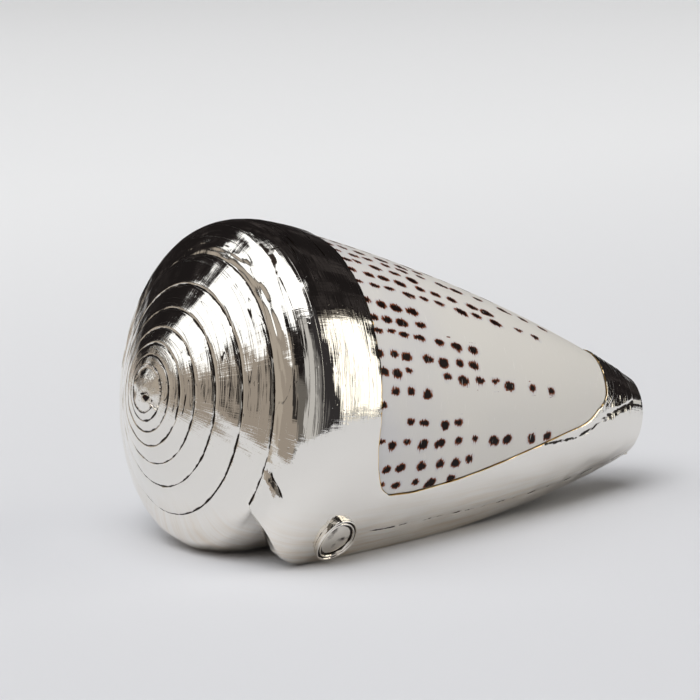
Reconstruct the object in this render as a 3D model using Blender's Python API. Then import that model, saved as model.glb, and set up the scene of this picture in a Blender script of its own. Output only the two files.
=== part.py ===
"""Cone shell in a silver mount, lying on its side with the aperture down."""

import math

import bmesh
import bpy
import numpy as np
from mathutils import Matrix, Vector

# Lengths are in metres and angles in radians.
# The shell is first made about its coil axis: z = 0 at the apex, z = LENGTH at the front end.
# phi is the growth angle: 0 at the outer lip, falling towards the apex.
LENGTH = 0.130
SHOULDER_RADIUS = 0.0441
TIP_RADIUS = 0.0106

# Growth: each whorl back from the lip is smaller by about this factor.
WHORL_RATIO = 1.261
GROWTH_FADE = 0.0056
SPIRE_WHORLS = 5

# Spire: its height is SPIRE_SCALE times a curve that is flat at the worn apex.
SPIRE_SCALE = 0.0198
APEX_WEAR = 0.289
SPIRE_BOW = -0.287
SPIRE_WAVE = -1.272
SUTURE_AT = 0.949
SUTURE_GROOVE = 0.00045
WHORL_BULGE = 0.00035
NUCLEUS_RISE = 0.0006

# Shoulder rounding and the gently convex side.
SHOULDER_IN = 0.0085
SHOULDER_DOWN = 0.0162
SIDE_BULGE = 0.378
SIDE_SKEW = -0.054
TIP_DRIFT = -0.0034
TIP_ROUND = 0.0034

# Outer lip, the notch at its back end, and the hollow behind it.
LIP_SETBACK = 0.25
LIP_THICKNESS = 0.0034
LIP_THICKNESS_AT_TIP = 0.0013
LIP_ROUND = 0.0014
HOLLOW_ANGLE = 1.9
COLUMELLA_STEP = 0.0022

# Window of bare shell. Its long edges are at these growth angles.
WINDOW_FRONT = -0.50
WINDOW_REAR = -4.52
WINDOW_EDGE_SLOPE = 0.33
WINDOW_EDGE_CURVE = 0.30
WINDOW_START = 0.014
WINDOW_START_CURVE = 0.45
WINDOW_END = 0.79
WINDOW_END_SLOPE = 0.085
WINDOW_END_LIMIT = 0.87
WINDOW_GAP = 0.0003

# Silver sheath, measured from the shell's bare surface.
SILVER_PROUD = 0.0003
SILVER_UNDER = 0.00045
SHELL_UNDER_SILVER = 0.00075
SURFACE_TRIM = -0.00015
RIDGE_HEIGHT = 0.0005
RIDGE_COUNT = 5

# Oval plaque on the lip.
PLAQUE_LENGTH = 0.0124
PLAQUE_WIDTH = 0.0104
PLAQUE_PHI = -0.225
PLAQUE_ROW = 0.388
PLAQUE_TURN = math.radians(20)
PLAQUE_GAP = 0.0003
PLAQUE_FIELD = 0.0007
PLAQUE_RIM = 0.0011
PLAQUE_SEGMENTS = 24

# Resting pose: how far the coil axis dips to the front end, and how far the lip is rolled
# from straight down to the viewer's side. The underside is worn flat to this depth.
AXIS_DIP = math.radians(9.0)
LIP_ROLL = math.radians(-35.7)
FLAT_DEPTH = 0.0006

# Grid of the surface.
REAR_COLUMNS = 10
WINDOW_COLUMNS = 19
LIP_COLUMNS = 3
SPIRE_ROWS = 3
HOLLOW_STEPS = (0.0, 0.09, 0.3, 0.53, 0.77, 1.0)
ROUND_START = 0.975
TURN = 2 * math.pi

SHELL_COLOUR = (0.72, 0.69, 0.64, 1.0)
SILVER_COLOUR = (0.87, 0.86, 0.84, 1.0)


def smooth_step(value):
    value = min(max(value, 0.0), 1.0)
    return value * value * (3 - 2 * value)


def mix(a, b, amount):
    return a + (b - a) * amount


def growth(phi):
    turns = phi / TURN
    return math.exp(math.log(WHORL_RATIO) * turns - GROWTH_FADE * turns * turns)


def spire_height(radius):
    """Axial place of the spire's surface at a radius; 0 at the apex."""
    x = radius / SHOULDER_RADIUS
    worn = math.sqrt(x * x + APEX_WEAR * APEX_WEAR) - APEX_WEAR
    bow = SPIRE_BOW * x * (x - 1)
    wave = SPIRE_WAVE * x * (x - 1) * (x - 0.5)
    return SPIRE_SCALE * (worn + bow + wave)


def suture_radius(phi):
    return SUTURE_AT * SHOULDER_RADIUS * growth(phi)


def on_axis_frame(phi, radius, height):
    return Vector((radius * math.cos(phi), radius * math.sin(phi), height))


def spire_point(phi, across):
    """A point between the inner and the outer suture of a spire whorl."""
    radius = mix(suture_radius(phi - TURN), suture_radius(phi), across)
    edge = 1 - math.sin(math.pi * across)
    lift = mix(WHORL_BULGE, -SUTURE_GROOVE, edge)
    return radius, spire_height(radius) - lift


def side_point(phi, along):
    """A point on the last whorl's side; along is 0 at the sharp shoulder and 1 at the tip."""
    size = growth(phi)
    radius = SHOULDER_RADIUS * size
    start = spire_height(radius)
    end = LENGTH - TIP_DRIFT * (1 - size)
    bulge = SIDE_BULGE + SIDE_SKEW * (1 - 2 * along)
    shape = (1 - along) + bulge * along * (1 - along)
    return radius * shape + TIP_RADIUS * size * along, mix(start, end, along)


def body_profile(phi, row):
    """Radius and height on the last whorl: row 0 suture, 0.2 to 0.4 shoulder, 1 front end."""
    size = growth(phi)
    corner = np.array((SHOULDER_RADIUS * size, spire_height(SHOULDER_RADIUS * size)))
    inner = suture_radius(phi - TURN)
    suture = np.array((inner, spire_height(inner) + SUTURE_GROOVE))
    ramp = np.linalg.norm(corner - suture)
    ramp_end = corner + (suture - corner) * min(SHOULDER_IN * size / ramp, 0.95)
    end = LENGTH - TIP_DRIFT * (1 - size)
    side_start = min(SHOULDER_DOWN * size / (end - corner[1]), 0.9)
    if row < 0.2:
        amount = row / 0.2
        point = mix(suture, ramp_end, amount)
        return point[0], point[1] - WHORL_BULGE * math.sin(math.pi * amount)
    if row < 0.4:
        amount = (row - 0.2) / 0.2
        below = np.array(side_point(phi, side_start))
        rest = 1 - amount
        point = ramp_end * rest * rest + corner * 2 * amount * rest + below * amount * amount
        return point[0], point[1]
    rounding = math.radians(90) * max(row - 1, 0.0)
    along = mix(side_start, 1.0, (min(row, ROUND_START if row > 1 else 1.0) - 0.4) / 0.6)
    radius, height = side_point(phi, along)
    radius -= TIP_ROUND * size * (1 - math.cos(rounding))
    return radius, height + TIP_ROUND * size * math.sin(rounding)


def body_point(phi, row):
    radius, height = body_profile(phi, row)
    near_tip = smooth_step((row - 0.75) / 0.25)
    near_aperture = 1 - smooth_step((phi + TURN + LIP_SETBACK) / 1.1)
    radius -= COLUMELLA_STEP * near_tip * near_aperture * growth(phi)
    return on_axis_frame(phi, radius, height)


def surface_normal(phi, row):
    step = 0.002
    along_phi = body_point(phi + step, row) - body_point(phi - step, row)
    along_row = body_point(phi, row + step) - body_point(phi, row - step)
    return along_row.cross(along_phi).normalized() * -1


def side_row(along):
    """Row at a share of the way from the end of the shoulder's rounding to the front end."""
    return mix(0.4, 1.0, along)


def window_draw(row):
    """How far a long edge of the window draws in from its widest place."""
    along = max((row - 0.4) / 0.6 - 0.12, 0.0)
    return WINDOW_EDGE_SLOPE * along + WINDOW_EDGE_CURVE * along * along


def window_start(phi):
    return side_row(WINDOW_START + WINDOW_START_CURVE * max(phi + 0.85, 0.0) ** 2)


def window_end(phi):
    end = WINDOW_END + WINDOW_END_SLOPE * (-1.0 - phi)
    return side_row(min(max(end, WINDOW_END), WINDOW_END_LIMIT))


def lip_phi(row):
    return -LIP_SETBACK * (1 - smooth_step((row - 0.2) / 0.2))


def make_rows():
    """Rows from the suture to the front end, as (zone, place in the zone, ridge height)."""
    rows = [("ramp", place, 0.0) for place in (0.0, 0.15, 0.24, 0.27, 0.30, 0.335, 0.375)]
    rows += [("window", place, 0.0) for place in (0.0, "after", 0.25, 0.5, 0.75, "before", 1.0)]
    ridges = 2 * RIDGE_COUNT
    for step in range(1, ridges + 1):
        height = RIDGE_HEIGHT if step % 2 else 0.0
        rows.append(("front", step / ridges, height))
    rows += [("round", 0.5, 0.0), ("round", 1.0, 0.0)]
    return rows


def make_columns():
    """Columns from under the lip, round the whorl and back to the lip, as (zone, place)."""
    columns = [("rear", step / REAR_COLUMNS) for step in range(REAR_COLUMNS + 1)]
    columns += [("window", "after")]
    columns += [("window", step / WINDOW_COLUMNS) for step in range(1, WINDOW_COLUMNS)]
    columns += [("window", "before")]
    columns += [("lip", step / LIP_COLUMNS) for step in range(LIP_COLUMNS + 1)]
    return columns


ROWS = make_rows()
COLUMNS = make_columns()
AROUND = len(COLUMNS) - 1
EDGE_ROWS = (ROWS.index(("window", 0.0, 0.0)), ROWS.index(("window", 1.0, 0.0)))
EDGE_COLUMNS = (COLUMNS.index(("rear", 1.0)), COLUMNS.index(("lip", 0.0)))
ROOF_ROW = SPIRE_ROWS + 1


def row_at(index, phi):
    zone, place, _ = ROWS[index]
    if zone == "ramp":
        return place
    if zone == "front":
        return mix(window_end(phi), ROUND_START, place)
    if zone == "round":
        return 1 + place
    gap = WINDOW_GAP / LENGTH
    if place == "after":
        return window_start(phi) + gap
    if place == "before":
        return window_end(phi) - gap
    return mix(window_start(phi), window_end(phi), place)


def column_at(index, row):
    """Growth angle of a column at a row: even at the suture, along the window's edges below."""
    zone, place = COLUMNS[index]
    under_lip = -TURN - LIP_SETBACK
    rear = WINDOW_REAR + window_draw(row)
    front = WINDOW_FRONT - window_draw(row)
    gap = WINDOW_GAP / max(body_profile(-1.0, row)[0], TIP_RADIUS)
    if zone == "rear":
        fitted = mix(under_lip, rear, place)
    elif zone == "lip":
        fitted = mix(front, lip_phi(row), place)
    elif place == "after":
        fitted = rear + gap
    elif place == "before":
        fitted = front - gap
    else:
        fitted = mix(rear, front, place)
    even = under_lip + TURN * index / AROUND
    return mix(even, fitted, smooth_step(row / 0.38))


def outer_point(column, row_index):
    """A grid point on the last whorl."""
    nominal = row_at(row_index, -1.5)
    phi = column_at(column, min(nominal, 1.0))
    return body_point(phi, row_at(row_index, phi))


def parietal_point(step, row_index):
    """The wall inside the hollow: the whorl before, running on under the last one."""
    phi = -TURN - mix(LIP_SETBACK, HOLLOW_ANGLE, HOLLOW_STEPS[step])
    return body_point(phi, row_at(row_index, phi))


def lip_thickness(row):
    return mix(LIP_THICKNESS, LIP_THICKNESS_AT_TIP, smooth_step((row - 0.3) / 0.7))


def inside_lip_point(step, row_index):
    """The inner face of the last whorl's wall; step 0 is the lip's inner edge."""
    nominal = min(row_at(row_index, -1.5), 1.0)
    phi = -mix(-lip_phi(nominal), HOLLOW_ANGLE, HOLLOW_STEPS[step])
    row = row_at(row_index, phi)
    point = body_point(phi, row)
    inward = Vector((point.x, point.y, 0)).normalized()
    return point - inward * lip_thickness(min(row, 1.0))


def rim_point(row_index):
    """The rounded middle of the lip's edge."""
    outside = outer_point(AROUND, row_index)
    inside = inside_lip_point(0, row_index)
    middle = (outside + inside) / 2
    onward = Vector((-middle.y, middle.x, 0)).normalized()
    thickness = (outside - inside).length
    return middle + onward * LIP_ROUND * thickness / LIP_THICKNESS


class SurfaceBuilder:
    """Collects the natural shell's points and faces, with what each face is."""

    def __init__(self):
        self.mesh = bmesh.new()
        self.region = self.mesh.faces.layers.int.new("region")
        self.ridge = self.mesh.verts.layers.float.new("ridge")
        self.named = {}

    def point(self, name, position, ridge=0.0):
        if name not in self.named:
            vertex = self.mesh.verts.new(position)
            vertex[self.ridge] = ridge
            self.named[name] = vertex
        return self.named[name]

    def face(self, names, region):
        corners = []
        for name in names:
            vertex = self.named[name]
            if vertex not in corners:
                corners.append(vertex)
        made = self.mesh.faces.new(corners)
        made[self.region] = region


BARE, SILVERED, HOLLOW = 0, 1, 2


def spire_name(column, row_index):
    """Name of a spire point; a whorl's inner suture is the outer suture of the whorl within."""
    if row_index == 0 and column >= AROUND:
        return ("spire", column - AROUND, SPIRE_ROWS)
    return ("spire", column, row_index)


def add_spire(builder):
    total = SPIRE_WHORLS * AROUND
    for column in range(total + 1):
        phi = -TURN * (SPIRE_WHORLS + 1) - LIP_SETBACK + TURN * column / AROUND
        for row_index in range(SPIRE_ROWS + 1):
            radius, height = spire_point(phi, row_index / SPIRE_ROWS)
            builder.point(spire_name(column, row_index), on_axis_frame(phi, radius, height))
    for column in range(total):
        for row_index in range(SPIRE_ROWS):
            corners = ((0, 0), (1, 0), (1, 1), (0, 1))
            names = [spire_name(column + a, row_index + b) for a, b in corners]
            builder.face(names, SILVERED)


def add_nucleus(builder):
    """The worn knob at the apex, inside the first whorl's suture."""
    ring = [("spire", column, 0) for column in range(AROUND)]
    ring += [("spire", 0, row_index) for row_index in range(SPIRE_ROWS, 0, -1)]
    knob = []
    for index, name in enumerate(ring):
        place = builder.named[name].co
        inner = Vector((place.x, place.y, 0)) * 0.55
        height = spire_height(inner.length) - NUCLEUS_RISE
        knob_name = ("knob", index)
        builder.point(knob_name, Vector((inner.x, inner.y, height)))
        knob.append(knob_name)
    builder.point("apex", Vector((0, 0, -NUCLEUS_RISE)))
    for index, name in enumerate(ring):
        after = (index + 1) % len(ring)
        builder.face((name, ring[after], knob[after], knob[index]), SILVERED)
        builder.face((knob[index], knob[after], "apex"), SILVERED)


def body_name(column, row_index):
    """Name of a point on the last whorl; its suture row is the spire's outermost suture."""
    start = (SPIRE_WHORLS - 1) * AROUND
    if row_index == 0:
        return ("spire", start + column, SPIRE_ROWS)
    if column == 0 and row_index <= SPIRE_ROWS:
        return ("spire", start + AROUND, row_index)
    return ("body", column, row_index)


def add_last_whorl(builder):
    for column in range(AROUND + 1):
        for row_index, (_, _, ridge) in enumerate(ROWS):
            name = body_name(column, row_index)
            if name not in builder.named:
                builder.point(name, outer_point(column, row_index), ridge)
    for column in range(AROUND):
        for row_index in range(len(ROWS) - 1):
            in_rows = EDGE_ROWS[0] <= row_index < EDGE_ROWS[1]
            in_columns = EDGE_COLUMNS[0] <= column < EDGE_COLUMNS[1]
            corners = ((0, 0), (1, 0), (1, 1), (0, 1))
            names = [body_name(column + a, row_index + b) for a, b in corners]
            builder.face(names, BARE if in_rows and in_columns else SILVERED)


def wall_name(step, row_index):
    return body_name(0, row_index) if step == 0 else ("wall", step, row_index)


def add_hollow(builder):
    """The aperture: lip edge, the wall behind it, the inner wall, and their closing faces."""
    last = len(ROWS) - 1
    steps = len(HOLLOW_STEPS) - 1
    for row_index in range(ROOF_ROW, last + 1):
        builder.point(("rim", row_index), rim_point(row_index))
        for step in range(steps + 1):
            builder.point(("inside", step, row_index), inside_lip_point(step, row_index))
            if step:
                builder.point(("wall", step, row_index), parietal_point(step, row_index))
    for low in range(ROOF_ROW, last):
        high = low + 1
        rim = (("rim", low), ("rim", high))
        edge = (body_name(AROUND, low), body_name(AROUND, high))
        builder.face((edge[0], edge[1], rim[1], rim[0]), SILVERED)
        builder.face((rim[0], rim[1], ("inside", 0, high), ("inside", 0, low)), SILVERED)
        for step in range(steps):
            region = SILVERED if step == 0 else HOLLOW
            wall = [wall_name(step + a, low + b) for a, b in ((0, 0), (0, 1), (1, 1), (1, 0))]
            builder.face(wall, region)
            inside = [("inside", step + a, low + b) for a, b in ((0, 0), (1, 0), (1, 1), (0, 1))]
            builder.face(inside, region)
        closing = (wall_name(steps, low), wall_name(steps, high))
        builder.face((*closing, ("inside", steps, high), ("inside", steps, low)), HOLLOW)
    for step in range(steps):
        names = (wall_name(step, ROOF_ROW), wall_name(step + 1, ROOF_ROW))
        names += (("inside", step + 1, ROOF_ROW), ("inside", step, ROOF_ROW))
        builder.face(names, SILVERED if step == 0 else HOLLOW)
    notch = [body_name(AROUND, row_index) for row_index in range(ROOF_ROW + 1)]
    notch += [("rim", ROOF_ROW), ("inside", 0, ROOF_ROW), body_name(0, ROOF_ROW)]
    builder.face(notch, SILVERED)
    front = [body_name(column, last) for column in range(AROUND, -1, -1)]
    front += [("wall", step, last) for step in range(1, steps + 1)]
    front += [("inside", step, last) for step in range(steps, -1, -1)]
    front.append(("rim", last))
    builder.face(front, SILVERED)


def resting_pose():
    """Turn from the coil axis frame to the lying pose: front end to +X, viewer's side -Y."""
    axis = Vector((math.cos(AXIS_DIP), 0, -math.sin(AXIS_DIP)))
    down = Vector((-math.sin(AXIS_DIP), 0, -math.cos(AXIS_DIP)))
    lip = math.cos(LIP_ROLL) * down + math.sin(LIP_ROLL) * axis.cross(down)
    turn = Matrix((lip, axis.cross(lip), axis))
    return turn.transposed()


def natural_surface():
    builder = SurfaceBuilder()
    add_spire(builder)
    add_nucleus(builder)
    add_last_whorl(builder)
    add_hollow(builder)
    surface = builder.mesh
    bmesh.ops.triangulate(surface, faces=surface.faces[:], quad_method="FIXED")
    bmesh.ops.recalc_face_normals(surface, faces=surface.faces[:])
    surface.normal_update()
    return surface, builder.region, builder.ridge


def solid_from(name, points, faces, material):
    mesh = bpy.data.meshes.new(name)
    mesh.from_pydata(points, [], faces)
    mesh.materials.append(material)
    mesh.shade_smooth()
    mesh.set_sharp_from_angle(angle=math.radians(40))
    made = bpy.data.objects.new(name, mesh)
    bpy.context.collection.objects.link(made)
    return made


def make_material(name, colour, metallic, roughness):
    material = bpy.data.materials.new(name)
    material.use_nodes = True
    shader = material.node_tree.nodes["Principled BSDF"]
    shader.inputs["Base Color"].default_value = colour
    shader.inputs["Metallic"].default_value = metallic
    shader.inputs["Roughness"].default_value = roughness
    material.diffuse_color = colour
    return material


def offset_points(surface, pose, offset_of):
    return [pose @ (v.co + v.normal * (offset_of(v) + SURFACE_TRIM)) for v in surface.verts]


def shell_solid(surface, region, pose):
    """The natural shell, let back under the silver."""

    def offset_of(vertex):
        covered = any(face[region] == SILVERED for face in vertex.link_faces)
        return -SHELL_UNDER_SILVER if covered else 0.0

    points = offset_points(surface, pose, offset_of)
    levels = [SILVER_PROUD + SHELL_UNDER_SILVER] * len(points)
    faces = [[v.index for v in face.verts] for face in surface.faces]
    return points, levels, faces


def silver_solid(surface, region, ridge, pose):
    """The silver sheath: the silvered faces, given a thickness and closed along their edges."""
    count = len(surface.verts)
    outer = offset_points(surface, pose, lambda v: SILVER_PROUD + v[ridge])
    inner = offset_points(surface, pose, lambda v: -SILVER_UNDER)
    silvered = [face for face in surface.faces if face[region] == SILVERED]
    faces = []
    for face in silvered:
        ring = [v.index for v in face.verts]
        faces.append(ring)
        faces.append([index + count for index in reversed(ring)])
        for loop in face.loops:
            across = [other for other in loop.edge.link_faces if other is not face]
            if across[0][region] != SILVERED:
                a = loop.vert.index
                b = loop.link_loop_next.vert.index
                faces.append([b, a, a + count])
                faces.append([b, a + count, b + count])
    points = outer + inner
    levels = [0.0] * count + [SILVER_PROUD + SILVER_UNDER] * count
    used = sorted({index for face in faces for index in face})
    place = {index: rank for rank, index in enumerate(used)}
    faces = [[place[index] for index in face] for face in faces]
    return [points[index] for index in used], [levels[index] for index in used], faces


def plaque_solid(pose):
    """An oval plaque with a raised rim, bent to lie on the lip."""
    radius = body_profile(PLAQUE_PHI, PLAQUE_ROW)[0]
    step = 0.01
    near = body_point(PLAQUE_PHI, PLAQUE_ROW + step) - body_point(PLAQUE_PHI, PLAQUE_ROW - step)
    row_length = near.length / (2 * step)
    base = SURFACE_TRIM + SILVER_PROUD + PLAQUE_GAP
    rings = [(1.0, base), (1.0, base + PLAQUE_FIELD)]
    rings += [(0.95, base + PLAQUE_RIM), (0.87, base + PLAQUE_RIM)]
    rings += [(0.80, base + PLAQUE_FIELD), (0.40, base + PLAQUE_FIELD)]

    def bent(share, angle, height):
        long_way = 0.5 * PLAQUE_LENGTH * share * math.cos(angle)
        short_way = 0.5 * PLAQUE_WIDTH * share * math.sin(angle)
        around = long_way * math.cos(PLAQUE_TURN) - short_way * math.sin(PLAQUE_TURN)
        along = long_way * math.sin(PLAQUE_TURN) + short_way * math.cos(PLAQUE_TURN)
        phi = PLAQUE_PHI + around / radius
        row = PLAQUE_ROW + along / row_length
        return pose @ (body_point(phi, row) + surface_normal(phi, row) * height)

    points = [bent(0, 0, base)]
    for share, height in rings:
        for index in range(PLAQUE_SEGMENTS):
            points.append(bent(share, TURN * index / PLAQUE_SEGMENTS, height))
    points.append(bent(0, 0, base + PLAQUE_FIELD))
    faces = []
    for index in range(PLAQUE_SEGMENTS):
        after = (index + 1) % PLAQUE_SEGMENTS
        faces.append((0, 1 + index, 1 + after))
        for ring in range(len(rings) - 1):
            low = 1 + ring * PLAQUE_SEGMENTS
            high = low + PLAQUE_SEGMENTS
            faces.append((low + index, high + index, high + after))
            faces.append((low + index, high + after, low + after))
        top = 1 + (len(rings) - 1) * PLAQUE_SEGMENTS
        faces.append((top + index, len(points) - 1, top + after))
    return points, [0.0] * len(points), faces


def settle_on_table(parts):
    """Bring the parts down to z = 0, centred, with each layer flat where it nears the table."""
    every = np.array([point for points, _, _ in parts for point in points])
    middle = (every.min(axis=0) + every.max(axis=0)) / 2
    shift = Vector((-middle[0], -middle[1], -every[:, 2].min() - FLAT_DEPTH))
    settled = []
    for points, levels, faces in parts:
        moved = [point + shift for point in points]
        flat = [Vector((p.x, p.y, max(p.z, level))) for p, level in zip(moved, levels)]
        settled.append((flat, faces))
    return settled


def close_and_orient(made):
    """Make every face point outwards."""
    work = bmesh.new()
    work.from_mesh(made.data)
    bmesh.ops.recalc_face_normals(work, faces=work.faces[:])
    work.to_mesh(made.data)
    work.free()


def build():
    for old in list(bpy.data.objects):
        bpy.data.objects.remove(old, do_unlink=True)
    shell_material = make_material("shell", SHELL_COLOUR, 0.0, 0.3)
    silver_material = make_material("silver", SILVER_COLOUR, 1.0, 0.08)
    pose = resting_pose()
    surface, region, ridge = natural_surface()
    parts = [
        shell_solid(surface, region, pose),
        silver_solid(surface, region, ridge, pose),
        plaque_solid(pose),
    ]
    surface.free()
    names = (("shell", shell_material), ("silver_mount", silver_material))
    names += (("oval_plaque", silver_material),)
    for (points, faces), (name, material) in zip(settle_on_table(parts), names):
        close_and_orient(solid_from(name, points, faces, material))


build()
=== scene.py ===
import math

import bpy
import numpy as np
from mathutils import Matrix, Vector


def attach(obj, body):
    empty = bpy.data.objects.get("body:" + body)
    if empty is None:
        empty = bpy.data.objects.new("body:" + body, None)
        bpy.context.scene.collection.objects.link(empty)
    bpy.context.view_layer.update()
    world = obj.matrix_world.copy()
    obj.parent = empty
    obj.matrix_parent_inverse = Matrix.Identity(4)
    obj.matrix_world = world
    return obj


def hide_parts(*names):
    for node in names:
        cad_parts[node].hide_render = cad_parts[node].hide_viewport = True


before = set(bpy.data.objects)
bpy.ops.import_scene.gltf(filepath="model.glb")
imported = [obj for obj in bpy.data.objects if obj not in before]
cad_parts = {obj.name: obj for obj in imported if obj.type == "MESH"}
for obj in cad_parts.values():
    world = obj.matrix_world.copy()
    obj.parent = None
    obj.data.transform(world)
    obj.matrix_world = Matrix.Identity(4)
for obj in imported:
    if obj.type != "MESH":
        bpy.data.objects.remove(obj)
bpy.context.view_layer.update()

turn = 2 * math.pi
mm = 0.001

# The shell's growth rule, about its coil axis: z is 0 at the apex and length at the front end.
# phi is the growth angle, 0 at the outer lip. row is 0 at the suture, rampEnd to bendEnd on
# the rounded shoulder, 1 at the front end and 2 where the front end has rounded in.
rampEnd, bendEnd, tipStart = 0.2, 0.4, 0.975
coil = {
    "length": 0.130,
    "shoulderRadius": 0.0441,
    "tipRadius": 0.0106,
    "whorlRatio": 1.261,
    "growthFade": 0.0056,
    "spireScale": 0.0198,
    "apexWear": 0.289,
    "spireBow": -0.287,
    "spireWave": -1.272,
    "sutureAt": 0.949,
    "sutureGroove": 0.00030,
    "whorlBulge": 0.00009,
    "nucleusRise": 0.0010,
    "nucleusRadius": 0.0075,
    "firstSuture": (0.003, 0.008),
    "shoulderIn": 0.0085,
    "shoulderDown": 0.0162,
    "sideBulge": 0.378,
    "sideSkew": -0.054,
    "tipDrift": -0.0034,
    "tipRound": 0.0050,
    "tipLean": math.radians(24),
    "columellaStep": 0.0022,
    "stepRow": 0.75,
    "stepReach": 1.1,
    "lipSetback": 0.25,
    "lipThickness": 0.0034,
    "lipThicknessAtTip": 0.0013,
    "taperFrom": 0.3,
    "lipRound": 0.0014,
    "hollowAngle": 1.9,
    "rampLimit": 0.95,
    "shoulderLimit": 0.9,
    "roofRow": 0.30,
    "innerWhorls": 6,
    "underLipReach": 0.35,
}

# How it lies: front end to +X, viewer's side -Y, lip on the table.
lying = {
    "axisDip": math.radians(9.0),
    "lipRoll": math.radians(-35.7),
    "shift": (-0.0638021, 0.0021885, 0.0370161),
}


def smoothStep(value):
    value = np.clip(value, 0.0, 1.0)
    return value * value * (3 - 2 * value)


def mix(a, b, amount):
    return a + (b - a) * amount


def zeros(places):
    return np.zeros(len(places))


def growthAt(phi):
    turns = phi / turn
    return np.exp(math.log(coil["whorlRatio"]) * turns - coil["growthFade"] * turns * turns)


def spireHeight(radius):
    x = radius / coil["shoulderRadius"]
    worn = np.sqrt(x * x + coil["apexWear"] ** 2) - coil["apexWear"]
    bow = coil["spireBow"] * x * (x - 1)
    wave = coil["spireWave"] * x * (x - 1) * (x - 0.5)
    knob = coil["nucleusRise"] * (1 - smoothStep(radius / coil["nucleusRadius"]))
    return coil["spireScale"] * (worn + bow + wave) - knob


def sutureRadius(phi):
    return coil["sutureAt"] * coil["shoulderRadius"] * growthAt(phi)


def sidePlace(phi, along):
    size = growthAt(phi)
    radius = coil["shoulderRadius"] * size
    start = spireHeight(radius)
    end = coil["length"] - coil["tipDrift"] * (1 - size)
    bulge = coil["sideBulge"] + coil["sideSkew"] * (1 - 2 * along)
    shape = (1 - along) + bulge * along * (1 - along)
    return radius * shape + coil["tipRadius"] * size * along, mix(start, end, along)


def bodyProfile(phi, row):
    size = growthAt(phi)
    cornerR = coil["shoulderRadius"] * size
    cornerH = spireHeight(cornerR)
    innerR = sutureRadius(phi - turn)
    innerH = spireHeight(innerR) + coil["sutureGroove"]
    ramp = np.hypot(cornerR - innerR, cornerH - innerH)
    share = np.minimum(coil["shoulderIn"] * size / ramp, coil["rampLimit"])
    rampR = mix(cornerR, innerR, share)
    rampH = mix(cornerH, innerH, share)
    end = coil["length"] - coil["tipDrift"] * (1 - size)
    sideStart = coil["shoulderDown"] * size / (end - cornerH)
    sideStart = np.minimum(sideStart, coil["shoulderLimit"])
    onRamp = np.clip(row / rampEnd, 0, 1)
    radius = mix(innerR, rampR, onRamp)
    height = mix(innerH, rampH, onRamp) - coil["whorlBulge"] * np.sin(math.pi * onRamp)
    bend = np.clip((row - rampEnd) / (bendEnd - rampEnd), 0, 1)
    belowR, belowH = sidePlace(phi, sideStart)
    rest = 1 - bend
    bendR = rampR * rest * rest + cornerR * 2 * bend * rest + belowR * bend * bend
    bendH = rampH * rest * rest + cornerH * 2 * bend * rest + belowH * bend * bend
    radius = np.where(row > rampEnd, bendR, radius)
    height = np.where(row > rampEnd, bendH, height)
    lean = coil["tipLean"]
    rounding = mix(lean, math.pi / 2, np.clip(row - 1, 0, 1))
    downTo = np.where(row > 1, tipStart, np.minimum(row, 1.0))
    sideR, sideH = sidePlace(phi, mix(sideStart, 1.0, (downTo - bendEnd) / (1 - bendEnd)))
    sideR = sideR - coil["tipRound"] * size * (math.cos(lean) - np.cos(rounding))
    sideH = sideH + coil["tipRound"] * size * (np.sin(rounding) - math.sin(lean))
    radius = np.where(row > bendEnd, sideR, radius)
    height = np.where(row > bendEnd, sideH, height)
    return radius, height


def onCoil(phi, radius, height):
    return np.stack((radius * np.cos(phi), radius * np.sin(phi), height), axis=-1)


def pathAt(phi, row):
    # mm along the shell, for the patterns
    return bodyProfile(phi, row)[1] * 1000


def bodyPoint(phi, row):
    radius, height = bodyProfile(phi, row)
    nearTip = smoothStep((row - coil["stepRow"]) / (1 - coil["stepRow"]))
    nearAperture = 1 - smoothStep((phi + turn + coil["lipSetback"]) / coil["stepReach"])
    radius = radius - coil["columellaStep"] * nearTip * nearAperture * growthAt(phi)
    return onCoil(phi, radius, height)


def unit(ways):
    return ways / np.linalg.norm(ways, axis=-1, keepdims=True)


def bodyNormal(phi, row):
    step = 0.002  # of a radian or a row
    around = bodyPoint(phi + step, row) - bodyPoint(phi - step, row)
    down = bodyPoint(phi, row + step) - bodyPoint(phi, row - step)
    return unit(np.cross(around, down))


def lipPhi(row):
    return -coil["lipSetback"] * (1 - smoothStep((row - rampEnd) / (bendEnd - rampEnd)))


def lipThickness(row):
    taper = smoothStep((row - coil["taperFrom"]) / 0.7)
    return mix(coil["lipThickness"], coil["lipThicknessAtTip"], taper)


def lyingTurn():
    dip, roll = lying["axisDip"], lying["lipRoll"]
    axis = Vector((math.cos(dip), 0, -math.sin(dip)))
    down = Vector((-math.sin(dip), 0, -math.cos(dip)))
    lip = math.cos(roll) * down + math.sin(roll) * axis.cross(down)
    return np.array((lip, axis.cross(lip), axis)).T


def layDown(points):
    return points @ lyingTurn().T + np.array(lying["shift"])


# The window of bare shell in the silver. front and rear are its long edges' growth angles,
# start and end its short edges as shares of the side, and each corner's radii are in metres.
window = {
    "front": -0.50,
    "rear": -4.52,
    "straightUpTo": 0.12,
    "edgeSlope": 0.15,
    "edgeCurve": 0.75,
    "start": 0.036,
    "startCurve": 0.45,
    "startCurveFrom": -0.85,
    "startCurveReach": 0.38,
    "end": 0.829,
    "endSlope": 0.03,
    "endLimit": 0.872,
    "shoulderCorner": (2.2 * mm, 2.2 * mm),
    "tipCorner": (6.0 * mm, 11.0 * mm),
    "cornerRows": 0.112,
}


def windowDraw(row):
    along = np.maximum((row - bendEnd) / (1 - bendEnd) - window["straightUpTo"], 0.0)
    return window["edgeSlope"] * along + window["edgeCurve"] * along * along


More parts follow.
